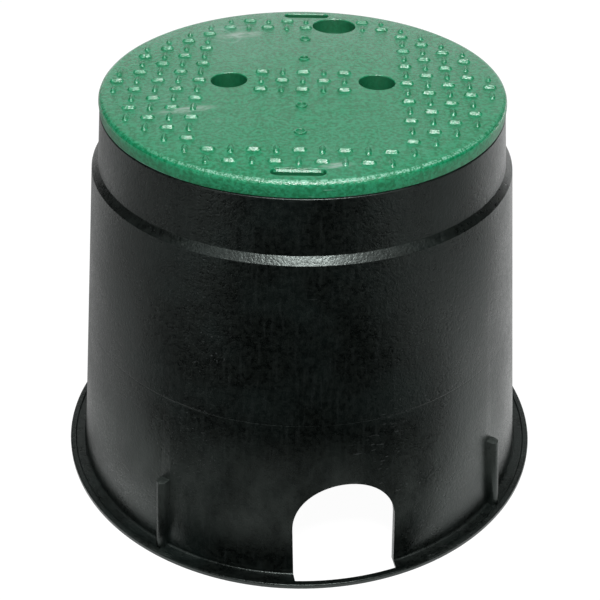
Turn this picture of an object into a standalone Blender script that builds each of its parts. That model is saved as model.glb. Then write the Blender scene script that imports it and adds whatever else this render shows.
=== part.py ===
"""A round valve box for buried irrigation valves, with its lift-off lid.

The box is one black moulding: a drafted tube on a flange, with a set-back collar at the top, two pipe
slots that straddle the pipe run, and four gussets. The lid is one green moulding: a crowned plate with
a grid of tread pads, two finger holes, two lift slots and a pocket for the lock bolt. Under the plate
it has a spigot that plugs into the collar, ribs, and the walls of the holes and pockets.

Metres, +Z up, origin at the centre of the flange on the ground. The pipe runs along Y.
"""

import math

import bmesh
import bpy
from mathutils import Matrix, Vector

# Box: the tube
BASE_RADIUS = 0.153
WALL_DRAFT = math.radians(6.0)
WALL_THICKNESS = 0.0045
SHOULDER_HEIGHT = 0.214
LEDGE_RISE = 0.004
COLLAR_SETBACK = 0.0039
COLLAR_HEIGHT = 0.037
RIM_ROUNDING = 0.0008

# Box: the flange, a thin web with a raised lip round it
FLANGE_REACH = 0.0105
LIP_HEIGHT = 0.0032
LIP_WIDTH = 0.0038
LIP_ROUNDING = 0.0008
WEB_THICKNESS = 0.002
FOOT_FILLET = 0.0015

# Box: the pipe slots and the gussets
SLOT_WIDTH = 0.064
SLOT_HEIGHT = 0.068
SLOT_COLUMNS = 12
GUSSET_COUNT = 4
GUSSET_THICKNESS = 0.0065
GUSSET_DEPTH = 0.0065
GUSSET_HEIGHT = 0.053

# Lid: the plate, in the lid's own frame with z = 0 at its seat
LID_TURN = math.radians(-12.0)
SEAT_GAP = 0.0003
LID_OVERHANG = 0.0003
LID_EDGE_HEIGHT = 0.0097
LID_EDGE_DRAFT = 0.0005
LID_EDGE_FILLET = 0.0024
LID_CROWN = 0.0029
PLATE_THICKNESS = 0.005
SPIGOT_CLEARANCE = 0.001
SPIGOT_DEPTH = 0.009
SPIGOT_THICKNESS = 0.003

# Lid: holes, slots and the lock pocket, with insets measured from the lid's rim
FINGER_HOLE_RADIUS = 0.0108
FINGER_HOLE_OFFSET = 0.0447
FINGER_WALL_DEPTH = 0.014
LIFT_SLOT_LENGTH = 0.0293
LIFT_SLOT_WIDTH = 0.0075
LIFT_SLOT_INSET = 0.0116
LIFT_SLOT_DEPTH = 0.0055
LIFT_SLOT_SLOPE = 0.0042
LOCK_POCKET_RADIUS = 0.014
LOCK_POCKET_DEPTH = 0.0135
LOCK_POCKET_INSET = 0.0291
LOCK_POCKET_BEARING = math.radians(78.5)
LOCK_BOLT_RADIUS = 0.0048
HOLE_WALL = 0.0025
POCKET_FLOOR = 0.0025

# Lid: ribs under the plate
RIB_THICKNESS = 0.0025
RIB_BOTTOM = -0.001
RADIAL_RIBS = 8
HUB_RING_RADIUS = 0.022
MIDDLE_RING_RADIUS = 0.070

# Lid: the tread pads, on a square grid inside a margin from the lid's rim
PAD_PITCH = 0.01253
PAD_LENGTH = 0.0068
PAD_WIDTH = 0.0028
PAD_HEIGHT = 0.0013
PAD_TAPER = 0.0004
PAD_ROOT = 0.0006
PAD_FIELD_MARGIN = 0.0088
PAD_SIDE_COLUMN = 5
PAD_END_ROW = 7
PAD_CENTRE_COLUMN = 2
PAD_CENTRE_ROW = 1

# Fineness of the round forms
ROUND_SEGMENTS = 80
HOLE_SEGMENTS = 28
ARC_STEPS = 3
CROWN_RINGS = 5
OVERSHOOT = 0.002
SEAM_MERGE = 0.000001

# Sizes that follow from the ones above
DRAFT_SLOPE = math.tan(WALL_DRAFT)
LEDGE_HEIGHT = SHOULDER_HEIGHT + LEDGE_RISE
RIM_HEIGHT = SHOULDER_HEIGHT + COLLAR_HEIGHT
FLANGE_RADIUS = BASE_RADIUS + FLANGE_REACH
LIP_RADIUS = FLANGE_RADIUS - LIP_WIDTH
SLOT_RADIUS = SLOT_WIDTH / 2


def wall_radius(height):
    """Outer radius of the tube's cone at this height."""
    return BASE_RADIUS - DRAFT_SLOPE * height


def collar_radius(height):
    """Outer radius of the collar, which runs parallel to the tube's cone."""
    return wall_radius(height) - COLLAR_SETBACK


COLLAR_MOUTH_RADIUS = collar_radius(RIM_HEIGHT) - WALL_THICKNESS
LID_RADIUS = collar_radius(RIM_HEIGHT) + LID_OVERHANG
SPIGOT_RADIUS = COLLAR_MOUTH_RADIUS - SPIGOT_CLEARANCE
SPIGOT_BORE = SPIGOT_RADIUS - SPIGOT_THICKNESS
CROWN_RADIUS = LID_RADIUS - LID_EDGE_FILLET
RIB_TOP = LID_EDGE_HEIGHT - PLATE_THICKNESS / 4
LIFT_SLOT_OFFSET = LID_RADIUS - LIFT_SLOT_INSET
LOCK_POCKET_DISTANCE = LID_RADIUS - LOCK_POCKET_INSET
PAD_FIELD_RADIUS = LID_RADIUS - PAD_FIELD_MARGIN
LOCK_POCKET_CENTRE = Vector(
    (
        LOCK_POCKET_DISTANCE * math.cos(LOCK_POCKET_BEARING),
        LOCK_POCKET_DISTANCE * math.sin(LOCK_POCKET_BEARING),
        0,
    )
)


def crown_height(radius):
    """Top of the lid's plate at this distance from its centre."""
    return LID_EDGE_HEIGHT + LID_CROWN * (1 - (radius / CROWN_RADIUS) ** 2)


def clear_scene():
    for obj in list(bpy.data.objects):
        bpy.data.objects.remove(obj, do_unlink=True)


def plastic(name, colour, roughness):
    """A moulded plastic: one Principled BSDF, not metallic."""
    material = bpy.data.materials.new(name)
    material.use_nodes = True
    shader = material.node_tree.nodes["Principled BSDF"]
    shader.inputs["Base Color"].default_value = (*colour, 1)
    shader.inputs["Roughness"].default_value = roughness
    shader.inputs["Metallic"].default_value = 0
    return material


def object_from(name, bm):
    """Closes the bmesh into a new object, with every face pointing out."""
    bmesh.ops.remove_doubles(bm, verts=bm.verts, dist=1e-7)
    bmesh.ops.recalc_face_normals(bm, faces=bm.faces)
    mesh = bpy.data.meshes.new(name)
    bm.to_mesh(mesh)
    bm.free()
    obj = bpy.data.objects.new(name, mesh)
    bpy.context.scene.collection.objects.link(obj)
    return obj


def revolve(bm, profile, segments, centre=(0, 0, 0)):
    """Spins a profile of (radius, height) points about the vertical axis through centre."""
    middle = Vector(centre)
    points = [bm.verts.new(middle + Vector((radius, 0, height))) for radius, height in profile]
    edges = [bm.edges.new(pair) for pair in zip(points, points[1:])]
    bmesh.ops.spin(
        bm,
        geom=points + edges,
        cent=middle,
        axis=(0, 0, 1),
        angle=math.tau,
        steps=segments,
        use_merge=True,
    )
    bmesh.ops.remove_doubles(bm, verts=bm.verts, dist=1e-7)


def prism(bm, outline, low, high):
    """Extrudes a flat outline of (x, y) points from height low to height high."""
    floor = bm.faces.new([bm.verts.new((x, y, low)) for x, y in outline])
    grown = bmesh.ops.extrude_face_region(bm, geom=[floor], use_keep_orig=True)
    raised = [item for item in grown["geom"] if isinstance(item, bmesh.types.BMVert)]
    bmesh.ops.translate(bm, verts=raised, vec=(0, 0, high - low))
    return raised


def arc(centre, radius, start, end, steps):
    """Points (x, y) on an arc from angle start to angle end, both included."""
    turn = (end - start) / steps
    return [
        (centre[0] + radius * math.cos(start + turn * k), centre[1] + radius * math.sin(start + turn * k))
        for k in range(steps + 1)
    ]


def stadium(length, width):
    """Outline of a straight slot with round ends, centred on the origin and long in X."""
    radius = width / 2
    reach = length / 2 - radius
    right = arc((reach, 0), radius, -math.pi / 2, math.pi / 2, 2 * ARC_STEPS)
    left = arc((-reach, 0), radius, math.pi / 2, 3 * math.pi / 2, 2 * ARC_STEPS)
    return right + left


def tool(name, bm, carrier):
    """A hidden body that a Boolean on its carrier adds or takes away."""
    obj = object_from(name, bm)
    obj.parent = carrier
    obj.hide_render = True
    obj.display_type = "WIRE"
    return obj


def combine(target, operation, other):
    modifier = target.modifiers.new(other.name, "BOOLEAN")
    modifier.operation = operation
    modifier.solver = "EXACT"
    modifier.object = other


def close_seams(obj):
    """Joins the points that the Booleans leave within a thousandth of a millimetre of each other."""
    weld = obj.modifiers.new("close_seams", "WELD")
    weld.merge_threshold = SEAM_MERGE


def shade(obj, material):
    """Smooth shading on the round faces, with edges sharper than 35 degrees kept."""
    obj.data.materials.append(material)
    obj.data.shade_smooth()
    obj.data.set_sharp_from_angle(angle=math.radians(35))


def box_profile():
    """The tube's section: up the outside from the flange, over the rim and down the inside."""
    foot = WEB_THICKNESS + FOOT_FILLET
    rim_round = RIM_HEIGHT - RIM_ROUNDING
    ledge_inside = LEDGE_HEIGHT - WALL_THICKNESS
    shoulder_inside = SHOULDER_HEIGHT - WALL_THICKNESS
    return [
        (wall_radius(0) - WALL_THICKNESS, 0),
        (FLANGE_RADIUS - LIP_ROUNDING / 2, 0),
        (FLANGE_RADIUS, LIP_ROUNDING / 2),
        (FLANGE_RADIUS, LIP_HEIGHT - LIP_ROUNDING),
        (FLANGE_RADIUS - LIP_ROUNDING, LIP_HEIGHT),
        (LIP_RADIUS, LIP_HEIGHT),
        (LIP_RADIUS - LIP_ROUNDING / 2, WEB_THICKNESS),
        (wall_radius(WEB_THICKNESS) + FOOT_FILLET, WEB_THICKNESS),
        (wall_radius(foot), foot),
        (wall_radius(SHOULDER_HEIGHT), SHOULDER_HEIGHT),
        (collar_radius(LEDGE_HEIGHT), LEDGE_HEIGHT),
        (collar_radius(rim_round), rim_round),
        (collar_radius(RIM_HEIGHT) - RIM_ROUNDING, RIM_HEIGHT),
        (COLLAR_MOUTH_RADIUS, RIM_HEIGHT),
        (collar_radius(ledge_inside) - WALL_THICKNESS, ledge_inside),
        (wall_radius(shoulder_inside) - WALL_THICKNESS, shoulder_inside),
        (wall_radius(0) - WALL_THICKNESS, 0),
    ]


def pipe_slot_cutter(side, carrier):
    """An arch through wall and web on one side, stopping at the lip, which ties the flange across it."""
    spring = SLOT_HEIGHT - SLOT_RADIUS
    back = side * (wall_radius(SLOT_HEIGHT) - 4 * WALL_THICKNESS - SLOT_RADIUS)
    bm = bmesh.new()
    columns = []
    for k in range(SLOT_COLUMNS + 1):
        angle = math.pi * k / SLOT_COLUMNS
        x = SLOT_RADIUS * math.cos(angle)
        top = spring + SLOT_RADIUS * math.sin(angle)
        front = side * math.sqrt(LIP_RADIUS**2 - x**2)
        columns.append([bm.verts.new((x, y, z)) for y, z in
                        ((front, -OVERSHOOT), (front, top), (back, top), (back, -OVERSHOOT))])
    for near, far in zip(columns, columns[1:]):
        for k in range(4):
            bm.faces.new((near[k], near[k - 1], far[k - 1], far[k]))
    bm.faces.new(columns[0])
    bm.faces.new(columns[-1])
    return tool("pipe_slot_front" if side < 0 else "pipe_slot_rear", bm, carrier)


def gusset_outline(height):
    """The gusset's cross-section at this height: sunk in the wall, with a half-round nose."""
    half = GUSSET_THICKNESS / 2
    root = wall_radius(height) - WALL_THICKNESS / 2
    nose = wall_radius(height) + GUSSET_DEPTH - half
    return [(root, -half), *arc((nose, 0), half, -math.pi / 2, math.pi / 2, 2 * ARC_STEPS), (root, half)]


def gussets(carrier):
    """Four upright gussets, between the slots, that follow the wall's draft from web to cut-off top."""
    low = WEB_THICKNESS / 2
    bm = bmesh.new()
    for k in range(GUSSET_COUNT):
        piece = bmesh.new()
        raised = prism(piece, gusset_outline(low), low, GUSSET_HEIGHT)
        lean = wall_radius(GUSSET_HEIGHT) - wall_radius(low)
        bmesh.ops.translate(piece, verts=raised, vec=(lean, 0, 0))
        bearing = math.tau * (k + 0.5) / GUSSET_COUNT
        piece.transform(Matrix.Rotation(bearing, 4, "Z"))
        mesh = bpy.data.meshes.new("gusset")
        piece.to_mesh(mesh)
        piece.free()
        bm.from_mesh(mesh)
        bpy.data.meshes.remove(mesh)
    return tool("gussets", bm, carrier)


def make_box(material):
    bm = bmesh.new()
    revolve(bm, box_profile(), ROUND_SEGMENTS)
    box = object_from("box_body", bm)
    shade(box, material)
    combine(box, "UNION", gussets(box))
    combine(box, "DIFFERENCE", pipe_slot_cutter(-1, box))
    combine(box, "DIFFERENCE", pipe_slot_cutter(1, box))
    close_seams(box)
    return box


def lid_profile():
    """The lid's section: out over the crown, down the edge, in along the seat and round the spigot."""
    crown = [CROWN_RADIUS * k / CROWN_RINGS for k in range(CROWN_RINGS + 1)]
    top = [(radius, crown_height(radius)) for radius in crown]
    fillet_centre = (CROWN_RADIUS, LID_EDGE_HEIGHT - LID_EDGE_FILLET)
    fillet = arc(fillet_centre, LID_EDGE_FILLET, math.pi / 2, 0, ARC_STEPS)[1:]
    edge = LID_RADIUS - LID_EDGE_DRAFT
    spigot = [
        (SPIGOT_RADIUS, 0),
        (SPIGOT_RADIUS, -SPIGOT_DEPTH),
        (SPIGOT_BORE, -SPIGOT_DEPTH),
    ]
    inside = [radius for radius in reversed(crown) if radius < SPIGOT_BORE]
    underside = [(radius, crown_height(radius) - PLATE_THICKNESS) for radius in [SPIGOT_BORE, *inside]]
    return [*top, *fillet, (edge, LID_EDGE_DRAFT), (edge - LID_EDGE_DRAFT, 0), *spigot, *underside]


def under_rings(carrier):
    """Two round ribs under the plate."""
    bm = bmesh.new()
    for radius in (HUB_RING_RADIUS, MIDDLE_RING_RADIUS):
        inner = radius - RIB_THICKNESS / 2
        outer = radius + RIB_THICKNESS / 2
        section = [(inner, RIB_BOTTOM), (outer, RIB_BOTTOM), (outer, RIB_TOP), (inner, RIB_TOP)]
        revolve(bm, [*section, section[0]], ROUND_SEGMENTS // 2)
    return tool("under_rings", bm, carrier)


def under_ribs(carrier):
    """Straight ribs from the hub ring out to the spigot."""
    bm = bmesh.new()
    start = HUB_RING_RADIUS
    end = SPIGOT_BORE + SPIGOT_THICKNESS / 2
    half = RIB_THICKNESS / 2
    for k in range(RADIAL_RIBS):
        turn = Matrix.Rotation(math.tau * k / RADIAL_RIBS, 2)
        corners = [(start, -half), (end, -half), (end, half), (start, half)]
        outline = [tuple(turn @ Vector(corner)) for corner in corners]
        prism(bm, outline, RIB_BOTTOM, RIB_TOP)
    return tool("under_ribs", bm, carrier)


def finger_hole_centres():
    return [(side * FINGER_HOLE_OFFSET, 0) for side in (-1, 1)]


def round_walls(carrier):
    """The walls that hang under the plate round the finger holes and the lock pocket."""
    bm = bmesh.new()
    wall = FINGER_HOLE_RADIUS + HOLE_WALL
    finger_bottom = crown_height(FINGER_HOLE_OFFSET) - FINGER_WALL_DEPTH
    for x, y in finger_hole_centres():
        section = [(0, finger_bottom), (wall, finger_bottom), (wall, RIB_TOP), (0, RIB_TOP)]
        revolve(bm, section, HOLE_SEGMENTS, (x, y, 0))
    pocket = LOCK_POCKET_RADIUS + HOLE_WALL
    pocket_bottom = crown_height(LOCK_POCKET_DISTANCE) - LOCK_POCKET_DEPTH - POCKET_FLOOR
    section = [(0, pocket_bottom), (pocket, pocket_bottom), (pocket, RIB_TOP), (0, RIB_TOP)]
    revolve(bm, section, HOLE_SEGMENTS, LOCK_POCKET_CENTRE)
    return tool("round_walls", bm, carrier)


def lift_slot_cups(carrier):
    """The closed cups that hang under the plate below the lift slots."""
    bm = bmesh.new()
    cup = stadium(LIFT_SLOT_LENGTH + 2 * HOLE_WALL, LIFT_SLOT_WIDTH + 2 * HOLE_WALL)
    bottom = crown_height(LIFT_SLOT_OFFSET) - LIFT_SLOT_DEPTH - POCKET_FLOOR
    for side in (-1, 1):
        prism(bm, [(x, y + side * LIFT_SLOT_OFFSET) for x, y in cup], bottom, RIB_TOP)
    return tool("lift_slot_cups", bm, carrier)


def lift_slot_core(bm, side, above):
    """A blind slot, upright on the rim's side and sloped on the side towards the middle of the lid."""
    mouth = crown_height(LIFT_SLOT_OFFSET)
    rings = []
    for level in (mouth - LIFT_SLOT_DEPTH, above):
        lean = LIFT_SLOT_SLOPE * (mouth - level) / LIFT_SLOT_DEPTH
        ring = []
        for x, y in stadium(LIFT_SLOT_LENGTH, LIFT_SLOT_WIDTH):
            share = max(0, -y) / (LIFT_SLOT_WIDTH / 2)
            ring.append(bm.verts.new((x, side * (LIFT_SLOT_OFFSET + y + lean * share), level)))
        rings.append(ring)
    low, high = rings
    walls = [bm.faces.new((low[k - 1], low[k], high[k], high[k - 1])) for k in range(len(low))]
    bmesh.ops.triangulate(bm, faces=[bm.faces.new(low), bm.faces.new(high), *walls])


def lid_cutter(carrier):
    """The two finger holes, the two blind lift slots, and the lock pocket with its bolt hole."""
    bm = bmesh.new()
    above = LID_EDGE_HEIGHT + LID_CROWN + OVERSHOOT
    below = crown_height(FINGER_HOLE_OFFSET) - FINGER_WALL_DEPTH - OVERSHOOT
    for x, y in finger_hole_centres():
        hole = FINGER_HOLE_RADIUS
        revolve(bm, [(0, below), (hole, below), (hole, above), (0, above)], HOLE_SEGMENTS, (x, y, 0))
    floor = crown_height(LOCK_POCKET_DISTANCE) - LOCK_POCKET_DEPTH
    under = floor - POCKET_FLOOR - OVERSHOOT
    bolt_pocket = [
        (0, under),
        (LOCK_BOLT_RADIUS, under),
        (LOCK_BOLT_RADIUS, floor),
        (LOCK_POCKET_RADIUS, floor),
        (LOCK_POCKET_RADIUS, above),
        (0, above),
    ]
    revolve(bm, bolt_pocket, HOLE_SEGMENTS, LOCK_POCKET_CENTRE)
    for side in (-1, 1):
        lift_slot_core(bm, side, above)
    return tool("lid_cutter", bm, carrier)


def has_pad(column, row):
    """Whether the tread has a pad here: round the rim and in a block at the centre, clear of all holes."""
    place = Vector((column * PAD_PITCH, row * PAD_PITCH, 0))
    if place.length > PAD_FIELD_RADIUS:
        return False
    if (place - LOCK_POCKET_CENTRE).length < LOCK_POCKET_RADIUS + PAD_LENGTH / 2:
        return False
    for x, y in finger_hole_centres():
        if math.hypot(place.x - x, place.y - y) < FINGER_HOLE_RADIUS + PAD_LENGTH / 2:
            return False
    if abs(place.y) > LIFT_SLOT_OFFSET - LIFT_SLOT_WIDTH / 2 - PAD_LENGTH / 2:
        return False
    beside = abs(column) >= PAD_SIDE_COLUMN
    before = abs(row) >= PAD_END_ROW
    centre = abs(column) <= PAD_CENTRE_COLUMN and abs(row) <= PAD_CENTRE_ROW
    return beside or before or centre


def tread_pads(carrier):
    """Small raised bars on a square grid, each turned across its neighbours."""
    reach = int(PAD_FIELD_RADIUS / PAD_PITCH)
    bm = bmesh.new()
    for column in range(-reach, reach + 1):
        for row in range(-reach, reach + 1):
            if not has_pad(column, row):
                continue
            x = column * PAD_PITCH
            y = row * PAD_PITCH
            level = crown_height(math.hypot(x, y))
            across = (column + row) % 2 == 1
            size = Vector((PAD_LENGTH, PAD_WIDTH)) if across else Vector((PAD_WIDTH, PAD_LENGTH))
            corners = [(-0.5, -0.5), (0.5, -0.5), (0.5, 0.5), (-0.5, 0.5)]
            outline = [(x + size.x * u, y + size.y * v) for u, v in corners]
            raised = prism(bm, outline, level - PAD_ROOT, level + PAD_HEIGHT)
            for vert in raised:
                vert.co.x += math.copysign(PAD_TAPER, x - vert.co.x)
                vert.co.y += math.copysign(PAD_TAPER, y - vert.co.y)
    return tool("tread_pads", bm, carrier)


def make_lid(material):
    bm = bmesh.new()
    revolve(bm, lid_profile(), ROUND_SEGMENTS)
    lid = object_from("lid", bm)
    shade(lid, material)
    lid.location = (0, 0, RIM_HEIGHT + SEAT_GAP)
    lid.rotation_euler = (0, 0, LID_TURN)
    combine(lid, "UNION", under_rings(lid))
    combine(lid, "UNION", under_ribs(lid))
    combine(lid, "UNION", round_walls(lid))
    combine(lid, "UNION", lift_slot_cups(lid))
    combine(lid, "DIFFERENCE", lid_cutter(lid))
    combine(lid, "UNION", tread_pads(lid))
    close_seams(lid)
    return lid


clear_scene()
make_box(plastic("black_polyolefin", (0.012, 0.014, 0.013), 0.55))
make_lid(plastic("green_polyolefin", (0.035, 0.29, 0.15), 0.5))
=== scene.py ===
import math

import bpy
from mathutils import Matrix, Vector


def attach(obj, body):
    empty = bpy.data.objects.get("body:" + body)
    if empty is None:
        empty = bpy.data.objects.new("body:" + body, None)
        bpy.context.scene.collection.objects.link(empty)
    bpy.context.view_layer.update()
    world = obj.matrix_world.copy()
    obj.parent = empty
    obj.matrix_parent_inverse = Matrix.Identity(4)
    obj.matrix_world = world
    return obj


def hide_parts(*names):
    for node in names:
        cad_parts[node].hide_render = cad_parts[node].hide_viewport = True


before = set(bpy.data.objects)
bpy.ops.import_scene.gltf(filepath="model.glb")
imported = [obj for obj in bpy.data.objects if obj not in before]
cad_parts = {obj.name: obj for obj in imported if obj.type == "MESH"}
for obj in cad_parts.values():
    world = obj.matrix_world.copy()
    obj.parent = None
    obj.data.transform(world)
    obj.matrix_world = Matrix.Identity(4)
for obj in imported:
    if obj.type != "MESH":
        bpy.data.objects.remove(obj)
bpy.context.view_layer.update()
scene = bpy.context.scene


# The box's tube. One black polyolefin injection moulding: a drafted wall on a thin flange with a raised
# lip, a 45 degree shoulder and a set-back collar whose rim carries the lid. It comes out of the mould
# open at both ends, with its edges slightly rounded.
BASE_RADIUS = 0.153
DRAFT = math.tan(math.radians(6.0))
WALL = 0.0045
WEB = 0.002
SHOULDER = 0.214
LEDGE = 0.218
COLLAR_SETBACK = 0.0039
RIM = 0.251
FLANGE_RADIUS = 0.1635
LIP_HEIGHT = 0.0032
LIP_WIDTH = 0.0038
LIP_DRAFT = 0.0002
EDGE_ROUND = 0.0004
LIP_ROUND = 0.0009
WEB_FILLET = 0.0014
SHOULDER_ROUND = 0.0005
LEDGE_FILLET = 0.0006
RIM_ROUND = 0.0008
RIM_INNER_ROUND = 0.0006
INSIDE_ROUND = 0.001
ARC_STEP = math.radians(18)
BOX_STEPS = 192


def wall_radius(height):
    return BASE_RADIUS - DRAFT * height


def collar_radius(height):
    return wall_radius(height) - COLLAR_SETBACK


def rounded(corners):
    """A closed section of (radius, height, rounding) corners, each rounded by a short arc."""
    points = []
    for k, (x, z, rounding) in enumerate(corners):
        here = Vector((x, z))
        if rounding == 0:
            points.append(here)
            continue
        before = (Vector(corners[k - 1][:2]) - here).normalized()
        after = (Vector(corners[(k + 1) % len(corners)][:2]) - here).normalized()
        half = before.angle(after) / 2
        middle = here + (before + after).normalized() * rounding / math.sin(half)
        start = here + before * rounding / math.tan(half) - middle
        end = here + after * rounding / math.tan(half) - middle
        steps = max(2, round((math.pi - 2 * half) / ARC_STEP))
        turn = start.angle_signed(end)
        for n in range(steps + 1):
            spoke = start.copy()
            spoke.rotate(Matrix.Rotation(-turn * n / steps, 2))
            points.append(middle + spoke)
    return points


def started(name, primitive, **sizes):
    """A plain shape at the origin, alone and open in edit mode, from which a piece is modelled."""
    bpy.ops.object.select_all(action="DESELECT")
    primitive(location=(0, 0, 0), **sizes)
    piece = bpy.context.object
    piece.name = name
    bpy.ops.object.mode_set(mode="EDIT")
    return piece


def finish_edit():
    """Merges doubled vertices, turns all faces outwards and leaves edit mode."""
    bpy.ops.mesh.select_all(action="SELECT")
    bpy.ops.mesh.remove_doubles(threshold=0.000002)
    bpy.ops.mesh.normals_make_consistent(inside=False)
    bpy.ops.object.mode_set(mode="OBJECT")


def turned(name, section, steps, axis_at=(0, 0)):
    """A round solid, spun about an upright axis from a section that is a ring or ends on the axis."""
    x, y = axis_at
    path = [Vector((x + radius, y, height)) for radius, height in section]
    if section[0][0] != 0:
        path.append(path[0])
    piece = started(name, bpy.ops.mesh.primitive_plane_add, size=0.001)
    piece.data.name = name
    bpy.ops.mesh.merge(type="CENTER")
    bpy.ops.transform.translate(value=path[0])
    for near, far in zip(path, path[1:]):
        bpy.ops.mesh.extrude_vertices_move(TRANSFORM_OT_translate={"value": far - near})
    bpy.ops.mesh.select_all(action="SELECT")
    bpy.ops.mesh.spin(steps=steps, angle=math.tau, use_auto_merge=True, center=(x, y, 0), axis=(0, 0, 1))
    finish_edit()
    return piece


lip_inside = FLANGE_RADIUS - LIP_WIDTH
ledge_inside = LEDGE - WALL
shoulder_inside = SHOULDER - WALL
box = turned("valve_box_shell", rounded([
    (wall_radius(0) - WALL, 0, EDGE_ROUND),
    (FLANGE_RADIUS, 0, EDGE_ROUND),
    (FLANGE_RADIUS, LIP_HEIGHT, LIP_ROUND),
    (lip_inside, LIP_HEIGHT, EDGE_ROUND),
    (lip_inside - LIP_DRAFT, WEB, EDGE_ROUND),
    (wall_radius(WEB), WEB, WEB_FILLET),
    (wall_radius(SHOULDER), SHOULDER, SHOULDER_ROUND),
    (collar_radius(LEDGE), LEDGE, LEDGE_FILLET),
    (collar_radius(RIM), RIM, RIM_ROUND),
    (collar_radius(RIM) - WALL, RIM, RIM_INNER_ROUND),
    (collar_radius(ledge_inside) - WALL, ledge_inside, INSIDE_ROUND),
    (wall_radius(shoulder_inside) - WALL, shoulder_inside, INSIDE_ROUND),
]), BOX_STEPS)


# The gussets. Four upright ribs with a half-round nose brace the wall against the flange, midway between
# the pipe slots. They are part of the box's moulding, lean with its draft and are cut off square on top.
GUSSET_COUNT = 4
GUSSET_HALF = 0.00325
GUSSET_DEPTH = 0.0065
GUSSET_TOP = 0.053
GUSSET_FOOT = 0.001
NEAR = 1e-6


def activate(piece):
    bpy.ops.object.select_all(action="DESELECT")
    piece.select_set(True)
    bpy.context.view_layer.objects.active = piece


def pick(piece, wanted):
    """Selects, in edit mode, the vertices whose place passes the test."""
    bpy.ops.object.mode_set(mode="OBJECT")
    bpy.context.tool_settings.mesh_select_mode = (True, False, False)
    chosen = [wanted(vertex.co) for vertex in piece.data.vertices]
    for part in (*piece.data.polygons, *piece.data.edges):
        part.select = False
    for vertex, state in zip(piece.data.vertices, chosen):
        vertex.select = state
    bpy.ops.object.mode_set(mode="EDIT")


def extrude(step):
    bpy.ops.mesh.extrude_region_move(TRANSFORM_OT_translate={"value": step})


def rotate(angle, axis="Z"):
    """Turns what is selected about an axis through the origin: clockwise, as Blender has no window here."""
    bpy.ops.transform.rotate(value=angle, orient_axis=axis, center_override=(0, 0, 0))


def combine(target, how, other):
    """Adds the other solid to the target, or cuts it out, and deletes it."""
    step = target.modifiers.new(how.lower(), "BOOLEAN")
    step.operation = how
    step.solver = "EXACT"
    step.object = other
    activate(target)
    bpy.ops.object.modifier_apply(modifier=step.name)
    bpy.data.objects.remove(other)


def gusset(bearing):
    nose = wall_radius(GUSSET_FOOT) + GUSSET_DEPTH - GUSSET_HALF
    root = wall_radius(GUSSET_FOOT) - WALL / 2
    lean = wall_radius(GUSSET_TOP) - wall_radius(GUSSET_FOOT)
    piece = started("gusset", bpy.ops.mesh.primitive_circle_add, vertices=24, radius=GUSSET_HALF,
                    fill_type="NGON")
    bpy.ops.transform.translate(value=(nose, 0, GUSSET_FOOT))
    bpy.ops.mesh.bisect(plane_co=(nose, 0, 0), plane_no=(1, 0, 0), clear_inner=True)
    pick(piece, lambda place: place.x < nose + NEAR)
    extrude((root - nose, 0, 0))
    bpy.ops.mesh.select_all(action="SELECT")
    extrude((lean, 0, GUSSET_TOP - GUSSET_FOOT))
    bpy.ops.mesh.region_to_loop()
    bpy.ops.mesh.bevel(offset=EDGE_ROUND, segments=2, affect="EDGES")
    bpy.ops.mesh.select_all(action="SELECT")
    rotate(-bearing)
    finish_edit()
    return piece


for k in range(GUSSET_COUNT):
    combine(box, "UNION", gusset(math.radians(45 + 360 / GUSSET_COUNT * k)))


# The pipe slots. Two arches, front and rear, let the box straddle the pipe. The mould's side cores leave
# them open through wall and web, and stop at the lip, which ties the flange together across each one.
SLOT_RADIUS = 0.032
SLOT_SPRING = 0.036
SLOT_START = 0.105
SLOT_RUN = 0.07
REACH_FOOT = -0.01
REACH_TOP = 0.09
CUT_PAST = 0.002


def slot_core(side):
    """The side core: an arch that runs outwards and ends in a round face against the lip."""
    core = started("slot_core", bpy.ops.mesh.primitive_circle_add, vertices=96, radius=SLOT_RADIUS,
                   fill_type="NOTHING")
    rotate(math.pi / 2, "X")
    bpy.ops.mesh.bisect(plane_co=(0, 0, 0), plane_no=(0, 0, 1), clear_inner=True)
    pick(core, lambda place: place.z < NEAR)
    foot = -SLOT_SPRING - CUT_PAST
    bpy.ops.mesh.extrude_vertices_move(TRANSFORM_OT_translate={"value": (0, 0, foot)})
    bpy.ops.mesh.edge_face_add()
    bpy.ops.mesh.select_all(action="SELECT")
    bpy.ops.mesh.edge_face_add()
    bpy.ops.transform.translate(value=(0, side * SLOT_START, SLOT_SPRING))
    extrude((0, side * SLOT_RUN, 0))
    finish_edit()
    reach = [(0, REACH_FOOT), (lip_inside, REACH_FOOT), (lip_inside, REACH_TOP), (0, REACH_TOP)]
    combine(core, "INTERSECT", turned("slot_reach", reach, BOX_STEPS))
    return core


for side in (-1, 1):
    combine(box, "DIFFERENCE", slot_core(side))


# The box's black polyolefin. Satin, close to black, with the faint mottle that pigment and regrind leave,
# and upright marks and one witness line from the mould. A few pale scratches come from use, and the wall
# is paler in a patchy band low down, which fades out towards the foot and upwards.
BLACK_DEEP = (0.0002, 0.0008, 0.0006)
BLACK_PALE = (0.0034, 0.0048, 0.0040)
BLACK_PATCH = (0.006, 0.011, 0.010)
BLACK_DRAWN = (0.03, 0.036, 0.035)
BLACK_SCRATCHED = (0.10, 0.11, 0.11)
LOW_BAND_PALE = (0.042, 0.049, 0.045)
WITNESS_LINE = 0.1115


def feed(tree, socket, value):
    """Sets a socket to a value, or links another socket to it."""
    if isinstance(value, bpy.types.NodeSocket):
        tree.links.new(value, socket)
    else:
        socket.default_value = value


def node(tree, kind, **inputs):
    """A shader node, with its sockets set to values or fed by other sockets, by name or place."""
    made = tree.nodes.new(kind)
    for key, value in inputs.items():
        if hasattr(made, key):
            setattr(made, key, value)
        elif key[1:].isdigit():
            feed(tree, made.inputs[int(key[1:])], value)
        else:
            feed(tree, made.inputs[key.replace("_", " ")], value)
    return made


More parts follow.
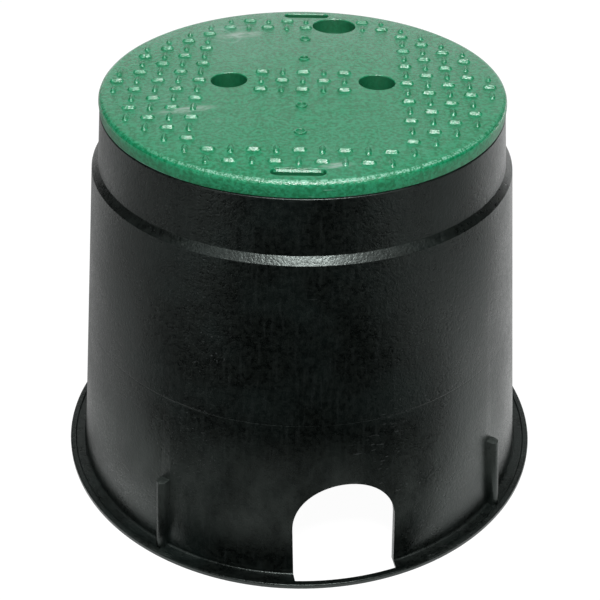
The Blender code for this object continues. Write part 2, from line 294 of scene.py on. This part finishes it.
def effect(name, inputs, outputs):
    """An empty shader node group with named float inputs (name: value) and outputs (name: socket type)."""
    group = bpy.data.node_groups.new(name, "ShaderNodeTree")
    for title, value in inputs.items():
        socket = group.interface.new_socket(title, in_out="INPUT", socket_type="NodeSocketFloat")
        socket.default_value = value
    for title, kind in outputs.items():
        group.interface.new_socket(title, in_out="OUTPUT", socket_type=kind)
    return group, group.nodes.new("NodeGroupInput").outputs, group.nodes.new("NodeGroupOutput").inputs


def ramp(tree, value, low, high, to_low=0.0, to_high=1.0):
    """A smooth step from one value to another as the given one goes from low to high."""
    return node(tree, "ShaderNodeMapRange", interpolation_type="SMOOTHSTEP",
                i0=value, i1=low, i2=high, i3=to_low, i4=to_high).outputs[0]


def math_node(tree, how, a, b=0.0):
    return node(tree, "ShaderNodeMath", operation=how, i0=a, i1=b).outputs[0]


def product(tree, value, *factors):
    for factor in factors:
        value = math_node(tree, "MULTIPLY", value, factor)
    return value


def noise(tree, place, scale, detail=2.0, rough=0.5):
    return node(tree, "ShaderNodeTexNoise", Vector=place, Scale=scale, Detail=detail,
                Roughness=rough).outputs[0]


def stretched(tree, place, stretch, turn=(0, 0, 0)):
    return node(tree, "ShaderNodeMapping", Vector=place, Rotation=turn, Scale=stretch).outputs[0]


def parts_of(tree, vector):
    return node(tree, "ShaderNodeSeparateXYZ", Vector=vector).outputs


def mixed(tree, factor, a, b):
    """A mix of two colours, each given as its red, green and blue or as a socket."""
    made = node(tree, "ShaderNodeMix", data_type="RGBA", i0=factor)
    for socket, colour in ((made.inputs[6], a), (made.inputs[7], b)):
        feed(tree, socket, (*colour, 1) if isinstance(colour, tuple) else colour)
    return made.outputs[2]


def moulded_grain():
    """The fine skin of a moulding: its height, and a mottle in two sizes of patch."""
    outputs = {title: "NodeSocketFloat" for title in ("Height", "Mottle", "Patches")}
    group, given, gives = effect("moulded_grain", {"Grain Scale": 1000.0, "Patch Scale": 40.0}, outputs)
    place = node(group, "ShaderNodeTexCoord").outputs["Object"]
    fine = noise(group, place, given["Grain Scale"], 3.0, 0.6)
    coarse = noise(group, place, product(group, given["Grain Scale"], 0.45), 2.0, 0.6)
    skin = math_node(group, "ADD", product(group, fine, 0.6), product(group, coarse, 0.4))
    group.links.new(skin, gives["Height"])
    group.links.new(ramp(group, coarse, 0.35, 0.65), gives["Mottle"])
    group.links.new(noise(group, place, given["Patch Scale"], 3.0, 0.55), gives["Patches"])
    return group


def fine_scratches():
    """A mask of a few long thin scratches, in three directions, gathered in patches."""
    outputs = {"Mask": "NodeSocketFloat"}
    group, given, gives = effect("fine_scratches", {"Scale": 40.0, "Amount": 0.5}, outputs)
    place = node(group, "ShaderNodeTexCoord").outputs["Object"]
    total = 0.0
    for turn in ((0.3, 0.2, 0.9), (0.1, -0.4, -0.5), (0.0, 0.1, 0.15)):
        lines = noise(group, stretched(group, place, (1.0, 30.0, 30.0), turn), given["Scale"], 1.0, 0.4)
        total = math_node(group, "MAXIMUM", ramp(group, lines, 0.73, 0.77), total)
    where = ramp(group, noise(group, place, 17.0), 0.55, 0.66)
    group.links.new(product(group, total, where, given["Amount"]), gives["Mask"])
    return group


def new_plastic(name, specular):
    """A material for a moulding: itself, its tree, its shader and the place that its patterns follow."""
    material = bpy.data.materials.new(name)
    material.use_nodes = True
    tree = material.node_tree
    shader = tree.nodes["Principled BSDF"]
    shader.inputs["Specular IOR Level"].default_value = specular
    return material, tree, shader, node(tree, "ShaderNodeTexCoord").outputs["Object"]


def coat(piece, material):
    """Gives a piece its material, with smooth faces and sharp edges."""
    activate(piece)
    piece.data.materials.clear()
    piece.data.materials.append(material)
    bpy.ops.object.shade_smooth_by_angle(angle=math.radians(30))


grain = moulded_grain()
scratches = fine_scratches()

black, tree, shader, place = new_plastic("black_polyolefin_satin", 0.6)
shader.inputs["Specular Tint"].default_value = (0.88, 1.0, 0.95, 1)
height = parts_of(tree, place)[2]
skin = node(tree, "ShaderNodeGroup", node_tree=grain, Grain_Scale=700.0, Patch_Scale=26.0).outputs
marks = node(tree, "ShaderNodeGroup", node_tree=scratches, Scale=34.0, Amount=0.5).outputs["Mask"]
body_colour = mixed(tree, skin["Mottle"], BLACK_DEEP, BLACK_PALE)
patchy = mixed(tree, ramp(tree, skin["Patches"], 0.42, 0.68, 0.0, 0.4), body_colour, BLACK_PATCH)
upright = noise(tree, stretched(tree, place, (1.0, 1.0, 0.03)), 520.0, 1.0)
draw_marks = product(tree, ramp(tree, upright, 0.5, 0.8), 0.16)
drawn_colour = mixed(tree, draw_marks, patchy, BLACK_DRAWN)
# Paler in a patchy band low on the wall, about 1 to 11 cm up, fading out at both ends.
low_band = product(tree, ramp(tree, height, 0.012, 0.045), ramp(tree, height, 0.05, 0.11, 1.0, 0.0))
clouds = noise(tree, stretched(tree, place, (1.0, 1.0, 0.5)), 45.0, 4.0, 0.6)
low_band_mask = product(tree, low_band, ramp(tree, clouds, 0.3, 0.7, 0.25, 0.8))
low_banded = mixed(tree, low_band_mask, drawn_colour, LOW_BAND_PALE)
tree.links.new(mixed(tree, marks, low_banded, BLACK_SCRATCHED), shader.inputs["Base Color"])
satin = ramp(tree, skin["Patches"], 0.3, 0.7, 0.28, 0.36)
grainy = math_node(tree, "ADD", satin, ramp(tree, skin["Height"], 0.3, 0.7, -0.06, 0.08))
roughness = math_node(tree, "ADD", grainy, product(tree, marks, 0.15))
tree.links.new(roughness, shader.inputs["Roughness"])
from_line = math_node(tree, "ABSOLUTE", math_node(tree, "SUBTRACT", height, WITNESS_LINE))
witness = ramp(tree, from_line, 0.0002, 0.0005, 1.0, 0.0)
relief = math_node(tree, "SUBTRACT", skin["Height"], product(tree, witness, 0.3))
bump = node(tree, "ShaderNodeBump", Strength=0.7, Distance=0.0005, Height=relief)
tree.links.new(bump.outputs[0], shader.inputs["Normal"])

coat(box, black)
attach(box, "box")
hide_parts("box_body")


# The lid's plate. One green polyolefin moulding: a crowned plate whose rounded edge covers the rim,
# with a spigot that plugs into the collar and rings and ribs under it that keep it stiff to step on.
# It lies loose on the rim, turned a little on the box, and is drawn here with z = 0 at its seat.
LID_TURN = math.radians(-12.0)
SEAT_GAP = 0.0003
EDGE_OVERHANG = 0.0003
LID_SEAT = RIM + SEAT_GAP
LID_RADIUS = collar_radius(RIM) + EDGE_OVERHANG
EDGE_HEIGHT = 0.0097
EDGE_FILLET = 0.0038
EDGE_DRAFT = 0.0005
FOOT_ROUND = 0.0006
CROWN = 0.0027
CROWN_RADIUS = LID_RADIUS - EDGE_FILLET
CROWN_RINGS = 12
PLATE = 0.005
SPIGOT_PLAY = 0.001
SPIGOT_WALL = 0.003
SPIGOT_RADIUS = collar_radius(RIM) - WALL - SPIGOT_PLAY
SPIGOT_BORE = SPIGOT_RADIUS - SPIGOT_WALL
SPIGOT_DEPTH = 0.009
PLATE_MARGIN = 0.004
RING_RIBS = (0.022, 0.070)
RIB_COUNT = 8
RIB_WIDTH = 0.0025
RIB_ROUND = 0.0003
RIB_SUNK = 0.0015
RIB_FOOT = -0.001
RIB_TOP = EDGE_HEIGHT - PLATE / 4
LID_STEPS = 240
RING_STEPS = 96


def crown(radius):
    return EDGE_HEIGHT + CROWN * (1 - (radius / CROWN_RADIUS) ** 2)


def lid_section():
    radii = [CROWN_RADIUS * k / CROWN_RINGS for k in range(CROWN_RINGS)]
    top = [(radius, crown(radius), 0) for radius in radii]
    edge = [
        (LID_RADIUS, EDGE_HEIGHT, EDGE_FILLET),
        (LID_RADIUS - EDGE_DRAFT, 0, FOOT_ROUND),
        (SPIGOT_RADIUS, 0, 0),
        (SPIGOT_RADIUS, -SPIGOT_DEPTH, FOOT_ROUND),
        (SPIGOT_BORE, -SPIGOT_DEPTH, FOOT_ROUND),
    ]
    inside = [radius for radius in reversed(radii) if radius < SPIGOT_BORE - PLATE_MARGIN]
    under = [(radius, crown(radius) - PLATE, 0) for radius in [SPIGOT_BORE, *inside]]
    return rounded([*top, *edge, *under])


lid = turned("valve_box_lid", lid_section(), LID_STEPS)
for ring_radius in RING_RIBS:
    inner = ring_radius - RIB_WIDTH / 2
    outer = ring_radius + RIB_WIDTH / 2
    section = rounded([
        (inner, RIB_FOOT, RIB_ROUND),
        (outer, RIB_FOOT, RIB_ROUND),
        (outer, RIB_TOP, 0),
        (inner, RIB_TOP, 0),
    ])
    combine(lid, "UNION", turned("under_ring", section, RING_STEPS))
for k in range(RIB_COUNT):
    rib = started("rib", bpy.ops.mesh.primitive_cube_add, size=1)
    length = SPIGOT_BORE + RIB_SUNK - RING_RIBS[0]
    size = (length, RIB_WIDTH, RIB_TOP - RIB_FOOT)
    bpy.ops.transform.resize(value=size, center_override=(0, 0, 0))
    bpy.ops.transform.translate(value=(RING_RIBS[0] + length / 2, 0, (RIB_TOP + RIB_FOOT) / 2))
    rotate(math.tau * k / RIB_COUNT)
    finish_edit()
    combine(lid, "UNION", rib)


# The lid's holes. Two finger holes go right through, two blind slots take the blade of a lifting key, with
# a bevel along their inner wall, and a round pocket takes the head of the lock bolt. Each has its own wall
# or cup hanging under the plate, all of one moulding with it.
FINGER_RADIUS = 0.0108
FINGER_OFFSET = 0.0447
FINGER_DEPTH = 0.014
KEY_LENGTH = 0.0293
KEY_WIDTH = 0.0075
KEY_OFFSET = LID_RADIUS - 0.0116
KEY_DEPTH = 0.0055
KEY_SLOPE = 0.0012
KEY_BEVEL = 0.0011
KEY_CORNERS = 32
LOCK_RADIUS = 0.014
LOCK_DEPTH = 0.0135
LOCK_DISTANCE = LID_RADIUS - 0.0291
LOCK_BEARING = math.radians(78.5)
LOCK_PLACE = (LOCK_DISTANCE * math.cos(LOCK_BEARING), LOCK_DISTANCE * math.sin(LOCK_BEARING))
BOLT_RADIUS = 0.0048
HOLE_WALL = 0.0025
HOLE_FLARE = 0.0008
FLARE_DEGREES = (0, 20, 40, 60)
LEAD_OUT = 0.0002
LEAD_UP = 0.00035
CUT_ABOVE = 0.004
HOLE_STEPS = 56


def hang_wall(name, radius, foot, place):
    """Adds a round plug under the plate, which the hole's core then leaves as a wall or cup."""
    outer = radius + HOLE_WALL
    section = rounded([(0, foot, 0), (outer, foot, EDGE_ROUND), (outer, RIB_TOP, 0), (0, RIB_TOP, 0)])
    combine(lid, "UNION", turned(name, section, HOLE_STEPS, place))


def flare(radius, top):
    """The rounded mouth of a hole, from its wall up past the plate's surface."""
    points = []
    for angle in map(math.radians, FLARE_DEGREES):
        points.append((radius + HOLE_FLARE * (1 - math.cos(angle)), top - HOLE_FLARE * (1 - math.sin(angle))))
    x, z = points[-1]
    outer = x + LEAD_OUT
    return [*points, (outer, z + LEAD_UP), (outer, top + CUT_ABOVE), (0, top + CUT_ABOVE)]


def crown_slope(place):
    """The turn that makes a thing square to the crowned surface at a place off its middle."""
    slope = math.atan(2 * CROWN * math.hypot(*place) / CROWN_RADIUS**2)
    return Matrix.Rotation(slope, 4, Vector((-place[1], place[0], 0)).normalized())


def cut_hole(core, place):
    """Leans a core so that its mouth is square to the crowned surface, and cuts it out of the lid."""
    pivot = Vector((*place, crown(math.hypot(*place))))
    core.data.transform(Matrix.Translation(pivot) @ crown_slope(place) @ Matrix.Translation(-pivot))
    combine(lid, "DIFFERENCE", core)


def round_ended(name, length, width, levels, corners):
    """A straight form with round ends, long in X, as rings at (level, outward growth) from low to high."""
    radius = width / 2
    reach = (length - width) / 2
    form = started(name, bpy.ops.mesh.primitive_circle_add, vertices=corners, radius=radius,
                   fill_type="NOTHING")
    bpy.ops.mesh.bisect(plane_co=(0, 0, 0), plane_no=(1, 0, 0), clear_inner=True)
    bpy.ops.mesh.select_all(action="SELECT")
    bpy.ops.transform.translate(value=(reach, 0, levels[0][0]))
    bpy.ops.mesh.duplicate()
    rotate(math.pi)
    bpy.ops.mesh.select_all(action="SELECT")
    bpy.ops.mesh.edge_face_add()
    for (low, grown), (high, growth) in zip(levels, levels[1:]):
        pick(form, lambda place: place.z > low - NEAR)
        extrude((0, 0, high - low))
        if growth != grown:
            scale = (radius + growth) / (radius + grown)
            for side in (-1, 1):
                pick(form, lambda place: place.z > high - NEAR and place.x * side > 0)
                bpy.ops.transform.resize(value=(scale, scale, 1), center_override=(side * reach, 0, high))
    finish_edit()
    return form


finger_seat = crown(FINGER_OFFSET)
finger_foot = finger_seat - FINGER_DEPTH
pocket_floor = crown(LOCK_DISTANCE) - LOCK_DEPTH
key_floor = crown(KEY_OFFSET) - KEY_DEPTH
for side in (-1, 1):
    hang_wall("finger_wall", FINGER_RADIUS, finger_foot, (side * FINGER_OFFSET, 0))
hang_wall("pocket_wall", LOCK_RADIUS, pocket_floor - HOLE_WALL, LOCK_PLACE)
levels = [(key_floor - HOLE_WALL, 0), (RIB_TOP, 0)]
for side in (-1, 1):
    cup = round_ended("key_cup", KEY_LENGTH + 2 * HOLE_WALL, KEY_WIDTH + 2 * HOLE_WALL, levels, KEY_CORNERS)
    cup.data.transform(Matrix.Translation((0, side * KEY_OFFSET, 0)))
    combine(lid, "UNION", cup)

for side in (-1, 1):
    place = (side * FINGER_OFFSET, 0)
    below = finger_foot - CUT_PAST
    section = [(0, below), (FINGER_RADIUS, below), *flare(FINGER_RADIUS, finger_seat)]
    cut_hole(turned("finger_core", section, HOLE_STEPS, place), place)
below = pocket_floor - HOLE_WALL - CUT_PAST
section = [
    (0, below),
    (BOLT_RADIUS, below),
    (BOLT_RADIUS, pocket_floor),
    (LOCK_RADIUS, pocket_floor),
    *flare(LOCK_RADIUS, crown(LOCK_DISTANCE)),
]
cut_hole(turned("lock_core", section, HOLE_STEPS, LOCK_PLACE), LOCK_PLACE)
mouth = [(height, radius) for radius, height in flare(0, crown(KEY_OFFSET))[:-1]]
levels = [(key_floor, 0), (mouth[0][0] - KEY_BEVEL, 0), *mouth]
for side in (-1, 1):
    core = round_ended("key_core", KEY_LENGTH, KEY_WIDTH, levels, KEY_CORNERS)
    for (level, grown), narrowing in zip(levels, (KEY_SLOPE, KEY_BEVEL)):
        pick(core, lambda place: abs(place.z - level) < NEAR and place.y * side < 0)
        squeeze = (1, 1 - 2 * narrowing / KEY_WIDTH, 1)
        bpy.ops.transform.resize(value=squeeze, center_override=(0, 0, level))
    finish_edit()
    core.data.transform(Matrix.Translation((0, side * KEY_OFFSET, 0)))
    cut_hole(core, (0, side * KEY_OFFSET))


# The lid's green polyolefin. Satin, with a grain from the mould that sparkles where a face tilts towards
# the lamp, faint flow lines and three scuffs. Its level top is partly dusty and partly painted sheen, its
# sloped faces near the front are partly rubbed and partly painted highlight, a painted highlight runs round
# its foot, and painted shade darkens the walls of its holes and other recesses.
GREEN_DEEP = (0.001, 0.178, 0.064)
GREEN_PALE = (0.012, 0.308, 0.138)
GREEN_DUST_AND_SHEEN = (0.25, 0.38, 0.33)
GREEN_FLOWED = (0.25, 0.5, 0.4)
GREEN_RUB_AND_HIGHLIGHT = (0.3, 0.62, 0.46)
GREEN_FOOT_HIGHLIGHT = (0.2, 0.55, 0.4)
GREEN_SCUFFED = (0.4, 0.52, 0.45)
GREEN_SHADED = (0.0, 0.09, 0.03)
SCUFFS = (
    ((-0.026, 0.0805), (0.02, 0.008)),
    ((-0.073, -0.0265), (0.022, 0.006)),
    ((-0.0022, -0.1056), (0.012, 0.004)),
)


def length_of(tree, vector):
    return node(tree, "ShaderNodeVectorMath", operation="LENGTH", i0=vector).outputs["Value"]


green, tree, shader, place = new_plastic("green_polyolefin_satin", 0.8)
facing_up = parts_of(tree, node(tree, "ShaderNodeNewGeometry").outputs["Normal"])[2]
along_y, height = parts_of(tree, place)[1:]
skin = node(tree, "ShaderNodeGroup", node_tree=grain, Grain_Scale=1050.0, Patch_Scale=30.0).outputs
marks = node(tree, "ShaderNodeGroup", node_tree=scratches, Scale=36.0, Amount=0.5).outputs["Mask"]
moulded = mixed(tree, skin["Mottle"], GREEN_DEEP, GREEN_PALE)
clouds = noise(tree, place, 16.0, 3.0, 0.6)
# Painted sheen, partly dust: level faces on top are greyed in clouds towards a pale dusty colour that also
# stands for the top's sheen.
top_dust_and_sheen = product(tree, ramp(tree, facing_up, 0.93, 0.99), ramp(tree, clouds, 0.3, 0.7, 0.0, 0.11))
dust_and_sheen_mixed = mixed(tree, top_dust_and_sheen, moulded, GREEN_DUST_AND_SHEEN)
fronts = math_node(tree, "ABSOLUTE", math_node(tree, "SUBTRACT", noise(tree, place, 21.0, 1.0), 0.5))
fading = ramp(tree, clouds, 0.52, 0.66, 0.0, 0.3)
flowed = mixed(tree, product(tree, ramp(tree, fronts, 0.0, 0.012, 1.0, 0.0), fading), dust_and_sheen_mixed, GREEN_FLOWED)
# Painted highlight, partly rubbing: faces tilted about 10 to 50 degrees from level, the rounded edge and the
# pads' slopes, are paled in grain specks, fully at the front towards the key lamp and faintly further back.
rub_and_highlight_slopes = product(tree, ramp(tree, facing_up, 0.66, 0.8), ramp(tree, facing_up, 0.95, 0.99, 1.0, 0.0))
rub_and_highlight = product(tree, rub_and_highlight_slopes, ramp(tree, skin["Height"], 0.47, 0.55, 0.05, 0.8))
key_lamp_side = ramp(tree, along_y, -0.11, -0.06, 1.0, 0.15)
rubbed_and_highlighted = mixed(tree, product(tree, rub_and_highlight, key_lamp_side), flowed, GREEN_RUB_AND_HIGHLIGHT)
# Painted highlight: a patchy pale line round the lid's foot, just above its seat.
foot = ramp(tree, height, LID_SEAT + 0.0004, LID_SEAT + 0.0009, 1.0, 0.0)
foot_highlight = product(tree, foot, ramp(tree, clouds, 0.5, 0.6, 0.0, 0.8))
foot_highlighted = mixed(tree, foot_highlight, rubbed_and_highlighted, GREEN_FOOT_HIGHLIGHT)
scuffs = 0.0
for (x, y), (wide, deep) in SCUFFS:
    spot = node(tree, "ShaderNodeMapping", Vector=place, Location=(-x / wide, -y / deep, 0),
                Scale=(1 / wide, 1 / deep, 0)).outputs[0]
    scuffs = math_node(tree, "ADD", scuffs, ramp(tree, length_of(tree, spot), 0.2, 1.0, 1.0, 0.0))
streaks = noise(tree, stretched(tree, place, (1.0, 5.0, 1.0)), 150.0, 3.0, 0.6)
on_top = product(tree, ramp(tree, streaks, 0.36, 0.6, 0.15, 0.8), ramp(tree, facing_up, 0.9, 0.97))
scuffed = mixed(tree, product(tree, scuffs, on_top), foot_highlighted, GREEN_SCUFFED)
# Painted shade: steep and downward faces inside the lid's rounded edge, the walls of the holes, slots and
# pocket and the parts under the plate, are darkened towards GREEN_SHADED.
from_middle = length_of(tree, stretched(tree, place, (1.0, 1.0, 0.0)))
inside = ramp(tree, from_middle, LID_RADIUS - 0.006, LID_RADIUS - 0.005, 1.0, 0.0)
painted_recess_shade = product(tree, inside, ramp(tree, facing_up, 0.2, 0.45, 1.0, 0.0), 0.75)
shaded = mixed(tree, painted_recess_shade, scuffed, GREEN_SHADED)
tree.links.new(mixed(tree, marks, shaded, GREEN_FLOWED), shader.inputs["Base Color"])
satin = ramp(tree, skin["Patches"], 0.3, 0.7, -0.04, 0.04)
roughness = math_node(tree, "ADD", satin, ramp(tree, facing_up, 0.1, 0.5, 0.5, 0.22))
tree.links.new(roughness, shader.inputs["Roughness"])
bump = node(tree, "ShaderNodeBump", Strength=0.8, Distance=0.0006, Height=skin["Height"])
tree.links.new(bump.outputs[0], shader.inputs["Normal"])


def lay_on_box(piece):
    """Seats a piece of the lid on the rim, gives it the lid's finish and lets it lift with the lid."""
    activate(piece)
    piece.location = (0, 0, LID_SEAT)
    piece.rotation_euler = (0, 0, LID_TURN)
    bpy.ops.object.transform_apply(location=True, rotation=True, scale=True)
    coat(piece, green)
    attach(piece, "lid")


lay_on_box(lid)
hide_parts("lid")


# The tread. Small ridged pads with half-round ends keep a wet foot from slipping. They stand on one square
# grid, each turned across its neighbours, and are part of the lid's moulding. They are left out round the
# holes and in two bare fields.
PAD_PITCH = 0.01253
PAD_LENGTH = 0.0089
PAD_WIDTH = 0.0038
PAD_RIDGE = 0.0009
PAD_HEIGHT = 0.0015
PAD_ROOT = 0.0006
PAD_FIELD = LID_RADIUS - 0.0088
PAD_CLEARANCE = 0.0034
PAD_CORNERS = 12
PAD_ROWS = 9
SIDE_BAND = 5
END_BAND = 7
MIDDLE_COLUMNS = 2
MIDDLE_ROWS = 1


def has_pad(column, row):
    """Whether the tread has a pad at this place of its grid."""
    place = Vector((column * PAD_PITCH, row * PAD_PITCH))
    if place.length > PAD_FIELD or abs(place.y) > KEY_OFFSET - KEY_WIDTH / 2 - PAD_CLEARANCE:
        return False
    if (place - Vector(LOCK_PLACE)).length < LOCK_RADIUS + PAD_CLEARANCE:
        return False
    in_middle = abs(column) <= MIDDLE_COLUMNS and abs(row) <= MIDDLE_ROWS
    return abs(column) >= SIDE_BAND or abs(row) >= END_BAND or in_middle


def joined(name, pieces):
    bpy.ops.object.select_all(action="DESELECT")
    for piece in pieces:
        piece.select_set(True)
    bpy.context.view_layer.objects.active = pieces[0]
    bpy.ops.object.join()
    whole = bpy.context.object
    whole.name = name
    return whole


ridge = (PAD_HEIGHT, (PAD_RIDGE - PAD_WIDTH) / 2)
first_pad = round_ended("pad", PAD_LENGTH, PAD_WIDTH, [(-PAD_ROOT, 0), (0, 0), ridge], PAD_CORNERS)
pads = []
for column in range(-PAD_ROWS, PAD_ROWS + 1):
    for row in range(-PAD_ROWS, PAD_ROWS + 1):
        if not has_pad(column, row):
            continue
        place = (column * PAD_PITCH, row * PAD_PITCH)
        away = math.hypot(*place)
        pad = first_pad.copy()
        pad.data = first_pad.data.copy()
        scene.collection.objects.link(pad)
        if (column + row) % 2 == 0:
            pad.data.transform(Matrix.Rotation(math.pi / 2, 4, "Z"))
        if away > 0:
            pad.data.transform(crown_slope(place))
        pad.data.transform(Matrix.Translation((*place, crown(away))))
        pads.append(pad)
bpy.data.objects.remove(first_pad)
lay_on_box(joined("valve_box_tread", pads))


# The ring marks. Four low rings stand on the lid's middle line, where the tool's inserts end: two on each
# side of the centre. They are moulded with the plate and stand 0.65 mm proud of it.
RING_OUTER = 0.0036
RING_HALF = 0.0007
RING_SUNK = 0.00005
RING_OFFSETS = (-0.067, -0.034, 0.034, 0.067)
rings = []
for offset in RING_OFFSETS:
    rings.append(started("ring", bpy.ops.mesh.primitive_torus_add, major_radius=RING_OUTER - RING_HALF,
                         minor_radius=RING_HALF, major_segments=40, minor_segments=12))
    bpy.ops.transform.translate(value=(0, offset, crown(abs(offset)) - RING_SUNK))
    finish_edit()
lay_on_box(joined("valve_box_ring_marks", rings))


# The studio. A pale floor under the box in a white surround, with one broad soft lamp high in front and a
# weak low one at the right. Grey cards that only reflections show stand for the darker things round it.
# The camera looks down on the front slot from a little to the left.
CAMERA_BEARING = math.radians(-11.0)
CAMERA_BACK = 0.68167
CAMERA_UP = 0.56752
CAMERA_DIP = 0.5977
CAMERA_ROLL = 0.0101
CAMERA_SHIFT = -0.00114
LENS = 73.047
SENSOR = 36.0
FLOOR_WIDTH = 12


def from_camera(sideways, back, up):
    """A place given in the camera's own directions on the floor plan."""
    return Matrix.Rotation(CAMERA_BEARING, 3, "Z") @ Vector((sideways, -back, up))


def seen_directly(tree):
    """1 where the camera sees a thing, also in a gloss or through a clear piece, and 0 for other light."""
    path = node(tree, "ShaderNodeLightPath").outputs
    seen = math_node(tree, "MAXIMUM", path["Is Camera Ray"], path["Is Glossy Ray"])
    return math_node(tree, "MAXIMUM", seen, path["Is Transmission Ray"])


def bare_material(name):
    """A material with nothing on its output yet."""
    material = bpy.data.materials.new(name)
    material.use_nodes = True
    tree = material.node_tree
    tree.nodes.remove(tree.nodes["Principled BSDF"])
    return material, tree, tree.nodes["Material Output"].inputs[0]


def lamp(name, place, aim, width, height, power):
    bpy.ops.object.light_add(type="AREA", location=place)
    made = bpy.context.object
    made.name = name
    made.data.shape = "RECTANGLE"
    made.data.size = width
    made.data.size_y = height
    made.data.energy = power
    made.rotation_euler = (Vector(aim) - Vector(place)).to_track_quat("-Z", "Y").to_euler()


def flag(name, size, place, shade, upright=None):
    """A card that only reflections show, flat on the floor or turned upright about its X or Y."""
    card = started(name, bpy.ops.mesh.primitive_plane_add, size=1)
    bpy.ops.transform.resize(value=(*size, 1), center_override=(0, 0, 0))
    if upright:
        rotate(math.pi / 2, upright)
    rotate(-CAMERA_BEARING)
    bpy.ops.transform.translate(value=from_camera(*place))
    bpy.ops.object.mode_set(mode="OBJECT")
    for way in ("camera", "diffuse", "transmission", "shadow"):
        setattr(card, "visible_" + way, False)
    paint, tree, surface = bare_material(name)
    tone = node(tree, "ShaderNodeEmission", Color=(shade, shade, shade, 1), Strength=1.0).outputs[0]
    tree.links.new(tone, surface)
    card.data.materials.append(paint)


bpy.ops.object.select_all(action="DESELECT")
bpy.ops.mesh.primitive_plane_add(size=FLOOR_WIDTH, location=(0, 0, 0))
floor = bpy.context.object
floor.name = "studio_floor"
pale, tree, surface = bare_material("pale_floor")
matte = node(tree, "ShaderNodeBsdfDiffuse", Color=(0.4, 0.4, 0.4, 1)).outputs[0]
glow = node(tree, "ShaderNodeEmission", Color=(1, 1, 1, 1), Strength=0.97).outputs[0]
shadowed = node(tree, "ShaderNodeBsdfDiffuse", Color=(0.12, 0.12, 0.12, 1)).outputs[0]
lit = node(tree, "ShaderNodeAddShader", i0=glow, i1=shadowed).outputs[0]
feed(tree, surface, node(tree, "ShaderNodeMixShader", i0=seen_directly(tree), i1=matte, i2=lit).outputs[0])
floor.data.materials.append(pale)

world = bpy.data.worlds.new("white_surround")
scene.world = world
world.use_nodes = True
tree = world.node_tree
background = tree.nodes["Background"]
feed(tree, background.inputs["Strength"], ramp(tree, seen_directly(tree), 0.0, 1.0, 0.22, 1.0))
background.inputs["Color"].default_value = (1, 1, 1, 1)

lamp("key", from_camera(0.08, 0.95, 1.66), from_camera(0, 0, 0.2), width=0.36, height=0.3, power=27)
lamp("right_side", from_camera(1.1, -0.9, 0.14), from_camera(0, 0, 0.1), width=0.5, height=0.24, power=2)

flag("near_front_flag", (1.02, 0.41), (-0.11, 0.345, 0.005), 0.02)
flag("far_front_flag", (2.6, 2.0), (0, 1.46, 0.002), 0.02)
flag("camera_flag", (2.6, 2.0), (0, 1.7, 1.0), 0.02, upright="X")
flag("left_floor_flag", (0.74, 1.2), (-0.53, -0.35, 0.003), 0.56)
flag("left_table_flag", (0.7, 0.62), (-0.87, 0.14, 0.004), 0.25)
flag("right_table_flag", (0.7, 0.62), (0.87, 0.14, 0.004), 0.3)
flag("right_flag", (1.5, 2.4), (0.95, -0.5, 0.87), 0.04, upright="Y")
flag("left_flag", (1.5, 2.4), (-0.95, -0.5, 0.87), 0.06, upright="Y")
flag("rear_flag", (3.0, 1.6), (0, -1.5, 1.72), 0.15, upright="X")

bpy.ops.object.camera_add(location=from_camera(0, CAMERA_BACK, CAMERA_UP))
camera = bpy.context.object
camera.data.sensor_width = SENSOR
camera.data.lens = LENS
camera.data.shift_x = CAMERA_SHIFT
across = Matrix.Rotation(CAMERA_BEARING, 3, "Z")
down = Matrix.Rotation(math.pi / 2 - CAMERA_DIP, 3, "X")
roll = Matrix.Rotation(CAMERA_ROLL, 3, "Z")
camera.rotation_euler = (across @ down @ roll).to_euler()
scene.camera = camera
scene.view_settings.view_transform = "Standard"
